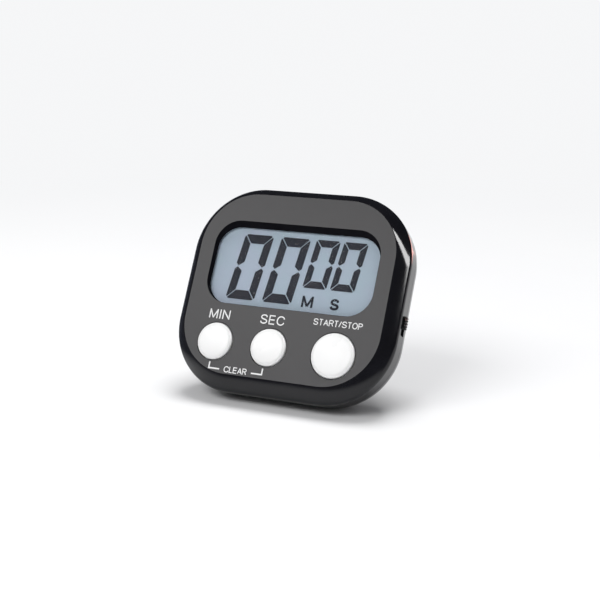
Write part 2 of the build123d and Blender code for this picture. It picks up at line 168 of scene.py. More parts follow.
def makeGrainGroup():
    # moulded surface: fine grain height, slow tone change and soft handling smudges
    group, ins, outs = newGroup(
        "mouldedSurface",
        [("GrainScale", "NodeSocketFloat", 2500.0), ("ToneScale", "NodeSocketFloat", 60.0),
         ("RoughLow", "NodeSocketFloat", 0.1), ("RoughHigh", "NodeSocketFloat", 0.2),
         ("ColourA", "NodeSocketColor", (0, 0, 0, 1)), ("ColourB", "NodeSocketColor", (0, 0, 0, 1))],
        [("Colour", "NodeSocketColor"), ("Roughness", "NodeSocketFloat"),
         ("Grain", "NodeSocketFloat")],
    )
    nt, link = group.nodes, group.links.new
    coord = nt.new("ShaderNodeTexCoord")
    grain = nt.new("ShaderNodeTexNoise")
    grain.inputs["Detail"].default_value = 2
    link(coord.outputs["Object"], grain.inputs["Vector"])
    link(ins.outputs["GrainScale"], grain.inputs["Scale"])
    tone = nt.new("ShaderNodeTexNoise")
    tone.inputs["Detail"].default_value = 4
    tone.inputs["Roughness"].default_value = 0.6
    link(coord.outputs["Object"], tone.inputs["Vector"])
    link(ins.outputs["ToneScale"], tone.inputs["Scale"])
    spread = nt.new("ShaderNodeMapRange")
    spread.inputs["From Min"].default_value = 0.35
    spread.inputs["From Max"].default_value = 0.65
    link(tone.outputs["Fac"], spread.inputs["Value"])
    mix = nt.new("ShaderNodeMix")
    mix.data_type = "RGBA"
    link(spread.outputs["Result"], mix.inputs["Factor"])
    link(ins.outputs["ColourA"], mix.inputs["A"])
    link(ins.outputs["ColourB"], mix.inputs["B"])
    link(mix.outputs["Result"], outs.inputs["Colour"])
    rough = nt.new("ShaderNodeMapRange")
    link(tone.outputs["Fac"], rough.inputs["Value"])
    rough.inputs["From Min"].default_value = 0.3
    rough.inputs["From Max"].default_value = 0.7
    link(ins.outputs["RoughLow"], rough.inputs["To Min"])
    link(ins.outputs["RoughHigh"], rough.inputs["To Max"])
    link(rough.outputs["Result"], outs.inputs["Roughness"])
    link(grain.outputs["Fac"], outs.inputs["Grain"])
    return group


surfaceGroup = makeGrainGroup()
grainDepth = 0.02 * mm


def surfaceNode(nt, colourA, colourB, rough):
    # the shared group placed in a material with its own values
    fx = nt.new("ShaderNodeGroup")
    fx.node_tree = surfaceGroup
    fx.inputs["RoughLow"].default_value, fx.inputs["RoughHigh"].default_value = rough
    fx.inputs["ColourA"].default_value = (*colourA, 1)
    fx.inputs["ColourB"].default_value = (*colourB, 1)
    return fx


def mathNode(nt, link, operation, *values):
    # one step of arithmetic; a value is a number or another node's socket
    node = nt.new("ShaderNodeMath")
    node.operation = operation
    for k, value in enumerate(values):
        if isinstance(value, (int, float)):
            node.inputs[k].default_value = value
        else:
            link(value, node.inputs[k])
    return node.outputs[0]


def colourMix(nt, link, factor, a, b):
    # from a socket's colour to a plain colour
    mix = nt.new("ShaderNodeMix")
    mix.data_type = "RGBA"
    link(factor, mix.inputs["Factor"])
    link(a, mix.inputs["A"])
    mix.inputs["B"].default_value = (*b, 1)
    return mix.outputs["Result"]


def softStep(nt, link, value, low, high):
    # 0 below low, 1 above high and a smooth rise between
    step = nt.new("ShaderNodeMapRange")
    step.interpolation_type = "SMOOTHSTEP"
    step.inputs["From Min"].default_value = low
    step.inputs["From Max"].default_value = high
    link(value, step.inputs["Value"])
    return step.outputs["Result"]


def newMaterial(name):
    mat = bpy.data.materials.new(name)
    mat.use_nodes = True
    return mat, mat.node_tree.nodes, mat.node_tree.links.new, mat.node_tree.nodes["Principled BSDF"]


def plastic(name, colourA, colourB, rough, grainScale=2500, bump=0.02, toneScale=60, metallic=0.0, ior=1.5):
    # one principled surface whose colour and roughness drift between two values, with a fine grain
    mat, nt, link, shader = newMaterial(name)
    fx = surfaceNode(nt, colourA, colourB, rough)
    fx.inputs["GrainScale"].default_value = grainScale
    fx.inputs["ToneScale"].default_value = toneScale
    link(fx.outputs["Colour"], shader.inputs["Base Color"])
    link(fx.outputs["Roughness"], shader.inputs["Roughness"])
    bumpNode = nt.new("ShaderNodeBump")
    bumpNode.inputs["Strength"].default_value = bump
    bumpNode.inputs["Distance"].default_value = grainDepth
    link(fx.outputs["Grain"], bumpNode.inputs["Height"])
    link(bumpNode.outputs["Normal"], shader.inputs["Normal"])
    shader.inputs["Metallic"].default_value = metallic
    shader.inputs["IOR"].default_value = ior
    return mat


gloss = dict(
    colourA=(0.006, 0.006, 0.008), colourB=(0.009, 0.009, 0.011), rough=(0.06, 0.11), bump=0.03, ior=1.4,
)
satinFilm = dict(colourA=(0.0352, 0.0342, 0.0356), colourB=(0.0455, 0.0442, 0.046), rough=(0.3, 0.36))
filmTone = 25           # scale of the film's slow drift in tone
dullWell = dict(ior=1.02, rougher=0.6)
caseBlack = plastic("glossBlackCase", **gloss)


def panelFilm(name):
    # the flat panel is a satin dark-grey film, its tone drifting slowly; the rest stays gloss black
    mat = plastic(name, **gloss)
    nt, link = mat.node_tree.nodes, mat.node_tree.links.new
    shader = nt["Principled BSDF"]
    bare = shader.inputs["Base Color"].links[0].from_node
    film = surfaceNode(nt, **satinFilm)
    film.inputs["ToneScale"].default_value = filmTone
    onPanel = nt.new("ShaderNodeAttribute")
    onPanel.attribute_name = "panelFace"
    colour = nt.new("ShaderNodeMix")
    colour.data_type = "RGBA"
    rough = nt.new("ShaderNodeMix")
    for mix in (colour, rough):
        link(onPanel.outputs["Fac"], mix.inputs["Factor"])
    # a Mix node keeps its number sockets at 2 and 3 and its colour sockets at 6 and 7
    for mix, source, a, b in [(colour, "Colour", 6, 7), (rough, "Roughness", 2, 3)]:
        link(bare.outputs[source], mix.inputs[a])
        link(film.outputs[source], mix.inputs[b])
    link(colour.outputs[2], shader.inputs["Base Color"])
    inWell = nt.new("ShaderNodeAttribute")      # the window's well is left dull
    inWell.attribute_name = "wellFace"
    dull = nt.new("ShaderNodeMapRange")
    dull.inputs["To Min"].default_value = gloss["ior"]
    dull.inputs["To Max"].default_value = dullWell["ior"]
    link(inWell.outputs["Fac"], dull.inputs["Value"])
    link(dull.outputs["Result"], shader.inputs["IOR"])
    terms = (inWell.outputs["Fac"], dullWell["rougher"], rough.outputs[0])
    link(mathNode(nt, link, "MULTIPLY_ADD", *terms), shader.inputs["Roughness"])
    return mat


panelBlack = panelFilm("panelFilm")
standBlack = plastic(
    "satinBlackStand", (0.018, 0.018, 0.019), (0.026, 0.026, 0.027), rough=(0.22, 0.34), bump=0.2)
buttonWhite = plastic(
    "whiteButton", (0.865, 0.865, 0.86), (0.875, 0.875, 0.87), rough=(0.25, 0.35), bump=0.05)
knobBlack = plastic(
    "mattBlackKnob", (0.005, 0.005, 0.005), (0.008, 0.008, 0.008), rough=(0.45, 0.6), bump=0.3, ior=1.2)
printWhite = plastic("whitePrint", (0.8, 0.8, 0.8), (0.88, 0.88, 0.88), rough=(0.4, 0.5), bump=0.05)
holderGrey = plastic("holderPlastic", (0.5, 0.5, 0.49), (0.58, 0.58, 0.56), rough=(0.5, 0.6), bump=0.2)
boardGreen = plastic(
    "boardLaminate", (0.02, 0.12, 0.045), (0.03, 0.17, 0.06), rough=(0.3, 0.45), grainScale=900, bump=0.2)
epoxyBlack = plastic("epoxyBlob", (0.01, 0.01, 0.01), (0.016, 0.015, 0.014), rough=(0.1, 0.25), bump=0.1)
rubberGrey = plastic("keyRubber", (0.4, 0.4, 0.39), (0.48, 0.48, 0.47), rough=(0.6, 0.75), bump=0.3)
rubberBlack = plastic("contactRubber", (0.02, 0.02, 0.02), (0.03, 0.03, 0.03), rough=(0.6, 0.75), bump=0.3)
stripGrey = plastic("stripRubber", (0.12, 0.12, 0.13), (0.18, 0.18, 0.19), rough=(0.6, 0.7), bump=0.2)
partTan = plastic(
    "boardParts", (0.35, 0.26, 0.17), (0.48, 0.38, 0.26), rough=(0.4, 0.5), toneScale=400, bump=0.1)
steelNickel = plastic(
    "nickelSteel", (0.62, 0.61, 0.58), (0.7, 0.69, 0.66), rough=(0.18, 0.32), metallic=1, bump=0.1)
magnetNickel = plastic(
    "magnetPlating", (0.6, 0.6, 0.6), (0.68, 0.68, 0.68), rough=(0.16, 0.3), metallic=1, bump=0.15)
brassSheet = plastic(
    "buzzerBrass", (0.72, 0.5, 0.2), (0.8, 0.58, 0.26), rough=(0.2, 0.35), metallic=1, bump=0.1)
ceramicWhite = plastic(
    "buzzerCeramic", (0.7, 0.69, 0.64), (0.78, 0.77, 0.72), rough=(0.45, 0.6), bump=0.2)
wireRed = plastic("wireJacket", (0.42, 0.02, 0.02), (0.5, 0.03, 0.03), rough=(0.3, 0.4), bump=0.05)
reflectorSilver = plastic(
    "reflectorFoil", (0.6, 0.61, 0.63), (0.7, 0.71, 0.73), rough=(0.3, 0.45), metallic=1, bump=0.3)
cellSleeve = plastic("cellSleeve", (0.02, 0.05, 0.11), (0.03, 0.07, 0.14), rough=(0.2, 0.3), bump=0.05)
lcdInk = plastic(
    "lcdSegments", (0.026, 0.03, 0.042), (0.036, 0.036, 0.046), rough=(0.5, 0.6), toneScale=350, ior=1.25)
lcdFace = plastic(
    "lcdBackground", (0.41, 0.52, 0.60), (0.445, 0.515, 0.625), rough=(0.4, 0.5), toneScale=90, ior=1.3)


def clearSheet(name):
    # thin clear plastic: see-through with a faint surface gloss
    mat, nt, link, shader = newMaterial(name)
    fx = surfaceNode(nt, (0.02, 0.024, 0.025), (0.03, 0.03, 0.032), (0.02, 0.06))
    link(fx.outputs["Colour"], shader.inputs["Base Color"])
    link(fx.outputs["Roughness"], shader.inputs["Roughness"])
    shader.inputs["Alpha"].default_value = 0.05
    shader.inputs["IOR"].default_value = 1.3
    return mat


windowClear = clearSheet("windowSheet")


def sleeveEnds(mat, reach, bandFrom, bandColour, metal):
    # the printed sleeve has a band near one end and stops short of the cell's bare metal ends
    nt, link = mat.node_tree.nodes, mat.node_tree.links.new
    shader = nt["Principled BSDF"]
    sleeve = shader.inputs["Base Color"].links[0].from_socket
    coord = nt.new("ShaderNodeTexCoord")
    split = nt.new("ShaderNodeSeparateXYZ")
    link(coord.outputs["Object"], split.inputs["Vector"])
    far = mathNode(nt, link, "ABSOLUTE", split.outputs["X"])
    edge = mathNode(nt, link, "GREATER_THAN", far, reach)
    band = mathNode(nt, link, "GREATER_THAN", split.outputs["X"], reach * bandFrom)
    printed = colourMix(nt, link, band, sleeve, bandColour)
    link(colourMix(nt, link, edge, printed, metal), shader.inputs["Base Color"])
    link(edge, shader.inputs["Metallic"])


sleeveEnds(cellSleeve, 19.6 * mm, 0.6, (0.55, 0.42, 0.16), (0.62, 0.61, 0.59))
finishes = {
    "front_case": caseBlack, "rear_case": caseBlack, "battery_door": caseBlack, "stand": standBlack,
    "display_window": windowClear, "lcd_glass": lcdFace, "lcd_reflector": reflectorSilver,
    "lcd_holder": holderGrey, "contact_strip": stripGrey, "circuit_board": boardGreen,
    "chip_cover": epoxyBlack, "crystal": steelNickel, "board_components": partTan, "key_mat": rubberGrey,
    "min_button": buttonWhite, "sec_button": buttonWhite, "start_stop_button": buttonWhite,
    "min_key_pad": rubberBlack, "sec_key_pad": rubberBlack, "start_stop_key_pad": rubberBlack,
    "switch_knob": knobBlack, "switch_lever": knobBlack, "slide_switch": steelNickel,
    "buzzer_plate": brassSheet, "buzzer_ceramic": ceramicWhite, "battery": cellSleeve,
    "battery_spring": steelNickel, "spring_plate": steelNickel, "battery_contact": steelNickel,
    "magnet": magnetNickel, "case_screws": steelNickel, "board_screws": steelNickel,
    "battery_leads": wireRed, "buzzer_leads": wireRed,
}
for nodeName, finish in finishes.items():
    slots = nodes[nodeName].material_slots
    for k in range(len(slots)):
        slots[k].material = finish
print("materials on", len(finishes), "nodes")


def merged(nodeName, name):
    # the CAD node's loose triangles joined into one surface
    mesh = nodes[nodeName].data.copy()
    mesh.name = name
    bm = bmesh.new()
    bm.from_mesh(mesh)
    bmesh.ops.remove_doubles(bm, verts=bm.verts, dist=0.002 * mm)
    bm.to_mesh(mesh)
    bm.free()
    return mesh


# where each CAD node belongs, as the record says
bodyOf = {n: b for b, names in frame["record"]["behaviour"]["bodies"].items() for n in names}


def stands(obj, nodeName):
    # the piece rides, is filed and is shown in place of its CAD node
    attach(obj, bodyOf[nodeName])
    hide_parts(nodeName)


def softCopy(nodeName):
    # a CAD node with its rounds shaded soft and its corners crisp
    obj = addPiece(nodeName + "_skin", merged(nodeName, nodeName + "_skin"), finishes[nodeName])
    obj.data.set_sharp_from_angle(angle=math.radians(crease["copy"]))
    mod = obj.modifiers.new("weighted", "WEIGHTED_NORMAL")
    mod.keep_sharp = True
    stands(obj, nodeName)


# the case: outlines are rounded rectangles stacked along the depth
caseForm = dict(
    width=68.0 * mm, height=61.7 * mm, radius=20.2 * mm, drop=panelLift,
    bevelDepth=3.8 * mm, bevelSoft=2.2 * mm, bevelBelly=0.35 * mm, bevelEnd=0.74, bevelRows=12,
    panelWidth=60.8 * mm, panelHeight=54.3 * mm, panelRadius=16.2 * mm, panelEdge=0.3 * mm,
    parting=8.8 * mm, partingRound=0.12 * mm, partingLand=1.4 * mm, draft=math.tan(math.radians(4)),
    depth=17.8 * mm, backRound=9.0 * mm, wall=1.6 * mm, panelWall=2.0 * mm, innerBevel=0.9 * mm,
    capInset=(1.5 * mm, 2.0 * mm), arc=26, soft=10,
)


def outline(width, height, radius, middle, depth, arc):
    # a rounded rectangle, anticlockwise seen from the front, as points (u, v, w)
    a = np.linspace(0, math.pi / 2, arc)
    corners = [(1, 1), (-1, 1), (-1, -1), (1, -1)]
    u, v = [], []
    for k, (sideU, sideV) in enumerate(corners):
        turn = a + k * math.pi / 2
        u.append(middle[0] + sideU * (width / 2 - radius) + radius * np.cos(turn))
        v.append(middle[1] + sideV * (height / 2 - radius) + radius * np.sin(turn))
    u, v = np.concatenate(u), np.concatenate(v)
    return np.stack([u, v, np.full_like(u, -depth)], axis=1)


def roundedPath(controls, radii, steps):
    # loops joined by straight walls; where a radius is given the corner becomes an arc touching both walls
    rows = [controls[0]]
    for k in range(1, len(controls) - 1):
        a, b, c = controls[k - 1], controls[k], controls[k + 1]
        if not radii[k]:
            rows.append(b)
            continue
        d1, d2 = a - b, c - b
        l1, l2 = np.linalg.norm(d1, axis=1), np.linalg.norm(d2, axis=1)
        d1, d2 = d1 / l1[:, None], d2 / l2[:, None]
        half = np.arccos(np.clip((d1 * d2).sum(1), -1, 1)) / 2
        # a wall shared with a rounded neighbour gives up only half its length
        share1 = 0.49 if radii[k - 1] else 0.98
        share2 = 0.49 if radii[k + 1] else 0.98
        reach = np.minimum(radii[k] / np.tan(half), np.minimum(l1 * share1, l2 * share2))
        r = reach * np.tan(half)
        mid = d1 + d2
        middle = b + mid / np.linalg.norm(mid, axis=1)[:, None] * (r / np.sin(half))[:, None]
        start, end = b + d1 * reach[:, None] - middle, b + d2 * reach[:, None] - middle
        turn = math.pi - 2 * half
        for t in np.linspace(0, 1, steps[k] + 1):
            before = (np.sin((1 - t) * turn) / np.sin(turn))[:, None]
            after = (np.sin(t * turn) / np.sin(turn))[:, None]
            rows.append(middle + before * start + after * end)
    rows.append(controls[-1])
    return np.array(rows)


def inFrame(rows):
    # points (u, v, w) to the shared frame
    return onFace(rows[..., 0], rows[..., 1], rows[..., 2])


def cutAway(obj, cutters):
    # exact subtraction, worked out at once so that no live modifier is left
    for mesh in cutters:
        tool = bpy.data.objects.new("cutter", mesh)
        bpy.context.scene.collection.objects.link(tool)
        mod = obj.modifiers.new("cut", "BOOLEAN")
        mod.object, mod.operation, mod.solver = tool, "DIFFERENCE", "EXACT"
        bpy.context.view_layer.update()
        solved = obj.evaluated_get(bpy.context.evaluated_depsgraph_get())
        result = bpy.data.meshes.new_from_object(solved)
        obj.modifiers.clear()
        obj.data = result
        bpy.data.objects.remove(tool)


def stack(name, controls, radii, steps):
    # closed form through loops from its first cap to its last
    return gridMesh(name, inFrame(roundedPath(controls, radii, steps)), closed=True, caps=(True, True))


def circle(cu, cv, radius, depth, count=72):
    # a ring of points about (cu, cv)
    t = np.linspace(0, 2 * math.pi, count, endpoint=False)
    return np.stack([cu + radius * np.cos(t), cv + radius * np.sin(t), np.full(count, -depth)], axis=1)


windowForm = dict(
    width=51.6 * mm, height=25.0 * mm, radius=7.4 * mm, v=6.0 * mm, edge=0.14 * mm, arc=20,
    sheetDepth=1.5 * mm, narrower=0.7 * mm, lower=1.6 * mm, tighter=0.6 * mm, lean=(0.05 * mm, -0.7 * mm),
    lipRound=0.35 * mm, through=0.3 * mm, seatWidth=53.3 * mm, seatHeight=26.3 * mm, seatRadius=1.0 * mm,
    seatV=5.3 * mm, seatDeep=1.0 * mm, seatArc=8,
)
buttonForm = {
    "min": dict(u=-19.0 * mm, radius=5.38 * mm),
    "sec": dict(u=-2.05 * mm, radius=5.38 * mm),
    "start_stop": dict(u=17.65 * mm, radius=6.38 * mm),
}
buttonRow = dict(
    v=-18.0 * mm, gap=0.18 * mm, edge=0.16 * mm, lipRound=0.25 * mm, through=3 * mm,
    flatTop=0.3 * mm, dome=0.28 * mm, shoulder=0.6 * mm, shoulderDrop=0.08 * mm, skirt=1.2 * mm,
    flangeHeight=1.15 * mm, flangeSlope=0.01 * mm, turns=96, rows=12,
)
slotForm = dict(
    v=(-8.8 * mm, -3.2 * mm), depth=(5.45 * mm, 8.55 * mm), radius=0.5 * mm, u=(30 * mm, 36 * mm), arc=6,
)
above = 1 * mm          # cutters start this far in front of the panel
skim = 0.02 * mm        # and turn inwards just above it
lipSteps = 4            # rows in the round of a cut edge
crease = dict(front=28, back=30, cap=40, copy=30)       # degrees past which an edge stays sharp


def windowCutters(w):
    # the sloped window well and the seat of its clear sheet
    place = (0, w["v"])
    wide = (w["width"] + 2 * w["edge"], w["height"] + 2 * w["edge"], w["radius"] + w["edge"])
    mouth = outline(*wide, place, -above, w["arc"])
    lip = mouth * (1, 1, 0) + (0, 0, skim)
    edge = outline(w["width"], w["height"], w["radius"], place, w["edge"], w["arc"])
    foot = (w["width"] - w["narrower"], w["height"] - w["lower"], w["radius"] - w["tighter"])
    inner = outline(*foot, (w["lean"][0], w["v"] + w["lean"][1]), w["sheetDepth"], w["arc"])
    loops = [mouth, lip, edge, inner, inner - (0, 0, w["through"])]
    well = stack("window", loops, [0, 0, w["lipRound"], 0, 0], [0, 0, lipSteps, 0, 0])
    sheet = (w["seatWidth"], w["seatHeight"], w["seatRadius"], (0, w["seatV"]))
    depths = (w["sheetDepth"], w["sheetDepth"] + w["seatDeep"])
    seat = [outline(*sheet, depth, w["seatArc"]) for depth in depths]
    return well, stack("seat", seat, [0, 0], [0, 0])


def buttonCutter(f, b):
    # a round hole with a gap round the cap and a small flare at the panel
    r = f["radius"] + b["gap"]
    rings = [(r + b["edge"], -above), (r + b["edge"], -skim), (r, b["edge"]), (r, b["through"])]
    loops = [circle(f["u"], b["v"], radius, depth) for radius, depth in rings]
    return stack("hole", loops, [0, 0, b["lipRound"], 0], [0, 0, lipSteps, 0])


def slotCutter(f):
    # the slot lies in the side wall, so its outline runs along v and depth
    lowV, highV = f["v"]
    lowD, highD = f["depth"]
    middle = ((lowV + highV) / 2, (lowD + highD) / 2)
    across = outline(highV - lowV, highD - lowD, f["radius"], middle, 0, f["arc"])
    loops = [np.stack([np.full(len(across), u), across[:, 0], -across[:, 1]], axis=1) for u in f["u"]]
    return stack("slot", loops, [0, 0], [0, 0])


def caseLoops(c):
    # loops from the panel, over the bevel and down the side, then back up inside the wall
    def side(depth, inset):
        inset = inset + c["draft"] * (depth - c["bevelDepth"])
        size = (c["width"] - 2 * inset, c["height"] - 2 * inset, c["radius"] - inset)
        return outline(*size, (0, -c["drop"]), depth, c["arc"])

    def panel(inset, depth):
        size = (c["panelWidth"] - 2 * inset, c["panelHeight"] - 2 * inset, c["panelRadius"] - inset)
        return outline(*size, (0, 0), depth, c["arc"])

    full, rim, wallEnd = side(c["bevelDepth"], 0), panel(0, 0), side(c["parting"], 0)
    chord, belly, end = full - rim, np.array([0, 0, c["bevelBelly"]]), c["bevelEnd"]
    # the bevel is a straight chord plus a parabola, highest half way along
    share = np.linspace(0, end, c["bevelRows"])
    bevel = [rim + chord * t + belly * 4 * t * (1 - t) for t in share]
    # where the bevel's last slope would meet the side wall, worked out in the plane of outward and depth
    outward = chord * (1, 1, 0) / np.linalg.norm(chord[:, :2], axis=1)[:, None]
    lines = (chord - belly * 4 * (2 * end - 1), wallEnd - full, full - bevel[-1])
    slope, fall, gap = [np.stack([(q * outward).sum(1), q[:, 2]], axis=1) for q in lines]
    crossing = slope[:, 0] * fall[:, 1] - slope[:, 1] * fall[:, 0]
    along = (gap[:, 0] * slope[:, 1] - gap[:, 1] * slope[:, 0]) / crossing
    corner = full + (wallEnd - full) * along[:, None]
    outerCap, innerCap = c["capInset"]
    loops = [
        panel(outerCap, 0), *bevel, corner, wallEnd, side(c["parting"], c["partingLand"]),
        side(c["bevelDepth"] + c["innerBevel"], c["wall"]), panel(c["wall"], c["panelWall"]),
        panel(c["wall"] + innerCap, c["panelWall"]),
    ]
    plain = [0] * (c["bevelRows"] - 1)
    radii = [0, c["panelEdge"], *plain, c["bevelSoft"], c["partingRound"], 0, 0, 0, 0]
    steps = [0, 5, *plain, c["soft"], 3, 0, 0, 0, 0]
    return loops, radii, steps


alike = 0.9999          # cosine past which two directions count as the same


def markFaces(mesh, w):
    # which faces are the flat panel and which are the window's well, for the film's material
    normal, middle = np.empty(len(mesh.polygons) * 3), np.empty(len(mesh.polygons) * 3)
    mesh.polygons.foreach_get("normal", normal)
    mesh.polygons.foreach_get("center", middle)
    local = (middle.reshape(-1, 3) - panelCentre) @ faceAxes.T
    facing = normal.reshape(-1, 3) @ faceOut > alike
    flatness, margin = 0.01 * mm, 1 * mm
    onPanel = facing & (np.abs(local[:, 2]) < flatness)
    nearU = np.abs(local[:, 0]) < w["width"] / 2 + margin
    nearV = np.abs(local[:, 1] - w["v"]) < w["height"] / 2 + margin
    for name, mask in (("panelFace", onPanel), ("wellFace", nearU & nearV & ~onPanel)):
        mesh.attributes.new(name, "FLOAT", "FACE").data.foreach_set("value", mask.astype(np.float32))


def makeFrontShell(c, w, b):
    # the closed wall of stacked outlines, less the window, the button holes and the switch slot
    obj = addPiece("front_shell", stack("front_shell", *caseLoops(c)), panelBlack)
    well, seat = windowCutters(w)
    holes = [buttonCutter(f, b) for f in buttonForm.values()]
    cutAway(obj, [well, *holes, seat, slotCutter(slotForm)])
    mesh = obj.data
    mesh.shade_smooth()
    mesh.set_sharp_from_angle(angle=math.radians(crease["front"]))
    markFaces(mesh, w)
    mod = obj.modifiers.new("weighted", "WEIGHTED_NORMAL")
    mod.keep_sharp = True
    stands(obj, "front_case")


makeFrontShell(caseForm, windowForm, buttonRow)


def shellNormals(points, c):
    # the outer form's own normal at points near it: slope of the outline distance over u, v and depth
    def distance(u, v, d):
        inset = c["draft"] * (d - c["bevelDepth"])
        low = c["depth"] - c["backRound"]
        across = np.clip((d - low) / c["backRound"], 0, 0.999)
        inset = inset + c["backRound"] * (1 - np.sqrt(1 - across ** 2))
        r = np.maximum(c["radius"] - inset, 0.1 * mm)
        qu = np.abs(u) - (c["width"] / 2 - inset - r)
        qv = np.abs(v + c["drop"]) - (c["height"] / 2 - inset - r)
        return np.hypot(np.maximum(qu, 0), np.maximum(qv, 0)) + np.minimum(np.maximum(qu, qv), 0) - r

    local = (points - panelCentre) @ faceAxes.T
    u, v, d, e = local[:, 0], local[:, 1], -local[:, 2], 0.004 * mm
    slope = np.stack([
        distance(u + e, v, d) - distance(u - e, v, d),
        distance(u, v + e, d) - distance(u, v - e, d),
        distance(u, v, d - e) - distance(u, v, d + e),
    ], axis=1)
    slope /= np.linalg.norm(slope, axis=1)[:, None]
    return slope @ faceAxes, distance(u, v, d)


def makeRearShell(c):
    # the CAD shell with the outer form's own normals wherever a face lies on it
    obj = addPiece("rear_shell", merged("rear_case", "rear_shell"), caseBlack)
    mesh = obj.data
    mesh.set_sharp_from_angle(angle=math.radians(crease["back"]))
    corners = np.empty(len(mesh.loops) * 3, np.float32)
    mesh.corner_normals.foreach_get("vector", corners)
    corners = corners.reshape(-1, 3).astype(float)
    vert = np.empty(len(mesh.loops), int)
    mesh.loops.foreach_get("vertex_index", vert)
    faceNormal = np.empty(len(mesh.polygons) * 3)
    mesh.polygons.foreach_get("normal", faceNormal)
    faceNormal = np.repeat(faceNormal.reshape(-1, 3), 3, axis=0)
    flatBack = faceNormal @ faceOut < -alike
    exact, gap = shellNormals(meshPoints(obj)[vert], c)
    nearest, closeTurn = 0.06 * mm, 0.97
    onShape = (np.abs(gap) < nearest) & ((exact * faceNormal).sum(1) > closeTurn)
    corners[onShape] = exact[onShape]
    corners[flatBack] = -faceOut
    mesh.normals_split_custom_set(corners.tolist())
    stands(obj, "rear_case")


makeRearShell(caseForm)


def makeButton(key, f, b):
    # a turned cap: domed top, rounded shoulder, skirt and the flange that keeps it in the panel
    nodeName = key + "_button"
    low, high = faceSpan(nodeName)
    top, base, r = high[2], low[2], f["radius"]
    flat, dome, shoulder = b["flatTop"], b["dome"], b["shoulder"]
    t = np.linspace(0, 1, b["rows"])
    quarter = t[1:] * math.pi / 2
    flange, lip = (high[0] - low[0]) / 2, base + b["flangeHeight"]
    radius = np.concatenate([
        flat + (r - shoulder - flat) * t, r - shoulder + shoulder * np.sin(quarter), [r, r, flange, flange]])
    height = np.concatenate([
        top - dome * t ** 2, top - dome - b["shoulderDrop"] - shoulder * (1 - np.cos(quarter)),
        [-b["skirt"], lip + b["flangeSlope"], lip, base]])
    a = np.linspace(0, 2 * math.pi, b["turns"], endpoint=False)
    u, v = f["u"] + radius[:, None] * np.cos(a), b["v"] + radius[:, None] * np.sin(a)
    rows = np.stack([u, v, np.broadcast_to(height[:, None], u.shape)], axis=-1)
    mesh = gridMesh(nodeName + "_cap", inFrame(rows), closed=True, caps=(True, True))
    obj = addPiece(nodeName + "_cap", mesh, buttonWhite)
    obj.data.set_sharp_from_angle(angle=math.radians(crease["cap"]))
    stands(obj, nodeName)


for key, form in buttonForm.items():
    makeButton(key, form, buttonRow)
for nodeName in ("battery_door", "stand", "switch_knob", "magnet"):
    softCopy(nodeName)
print("shells and buttons")


# display: the four digits and the two unit letters lie on the glass
digitSet = dict(
    big=dict(
        left=-17.6 * mm, top=15.3 * mm, pitch=11.72 * mm, width=9.2 * mm, height=19.8 * mm,
        upright=2.4 * mm, bar=2.75 * mm,
    ),
    small=dict(
        left=5.15 * mm, top=15.4 * mm, pitch=8.5 * mm, width=7.35 * mm, height=14.5 * mm,
        upright=1.9 * mm, bar=2.1 * mm,
    ),
    slant=0.115, gap=0.24 * mm, corner=0.85 * mm,
)


def insetOutline(pts, d):
    # every edge of a convex outline moves inwards by d and neighbours meet again
    prev, nxt = np.roll(pts, 1, axis=0), np.roll(pts, -1, axis=0)
    e0, e1 = pts - prev, nxt - pts
    n0 = np.stack([-e0[:, 1], e0[:, 0]], 1) / np.linalg.norm(e0, axis=1)[:, None]
    n1 = np.stack([-e1[:, 1], e1[:, 0]], 1) / np.linalg.norm(e1, axis=1)[:, None]
    m = n0 + n1
    return pts + m * (d / np.maximum((m * n0).sum(1), 0.2))[:, None]


def zeroSegments(s, corner):
    # the six lit segments of a zero, anticlockwise outlines measured from the digit's lower left corner
    w, h, t, b, c = s["width"], s["height"], s["upright"], s["bar"], corner
    mid, tip, notch = h / 2, 0.35 * t, 0.5 * t
    top = [(c / 2, h - c / 2), (t, h - b), (w - t, h - b), (w - c / 2, h - c / 2), (w - c, h), (c, h)]
    upLeft = [
        (0, h - c), (0, mid + notch * 0.6), (tip, mid), (t, mid + notch), (t, h - b), (c / 2, h - c / 2)]

    def flipX(pts):
        return [(w - x, y) for x, y in pts][::-1]

    def flipY(pts):
        return [(x, h - y) for x, y in pts][::-1]

    return [top, flipY(top), upLeft, flipY(upLeft), flipX(upLeft), flipX(flipY(upLeft))]


def flatPrism(name, outlines, low, high):
    # prisms over flat outlines in face coordinates, between two heights above the panel
    verts, faces, start = [], [], 0
    for pts in outlines:
        n = len(pts)
        verts.append(onFace(pts[:, 0], pts[:, 1], low))
        verts.append(onFace(pts[:, 0], pts[:, 1], high))
        ring = np.arange(n)
        side = np.stack([ring, np.roll(ring, -1), np.roll(ring, -1) + n, ring + n], axis=1) + start
        faces += side.tolist() + [(ring[::-1] + start).tolist(), (ring + n + start).tolist()]
        start += 2 * n
    mesh = bpy.data.meshes.new(name)
    mesh.from_pydata(np.concatenate(verts), [], faces)
    return mesh


glassTop = faceSpan("lcd_glass")[1][2]
paint = dict(low=-0.01 * mm, high=0.03 * mm)        # printed on the panel
ink = dict(low=glassTop + 0.01 * mm, high=glassTop + 0.06 * mm)


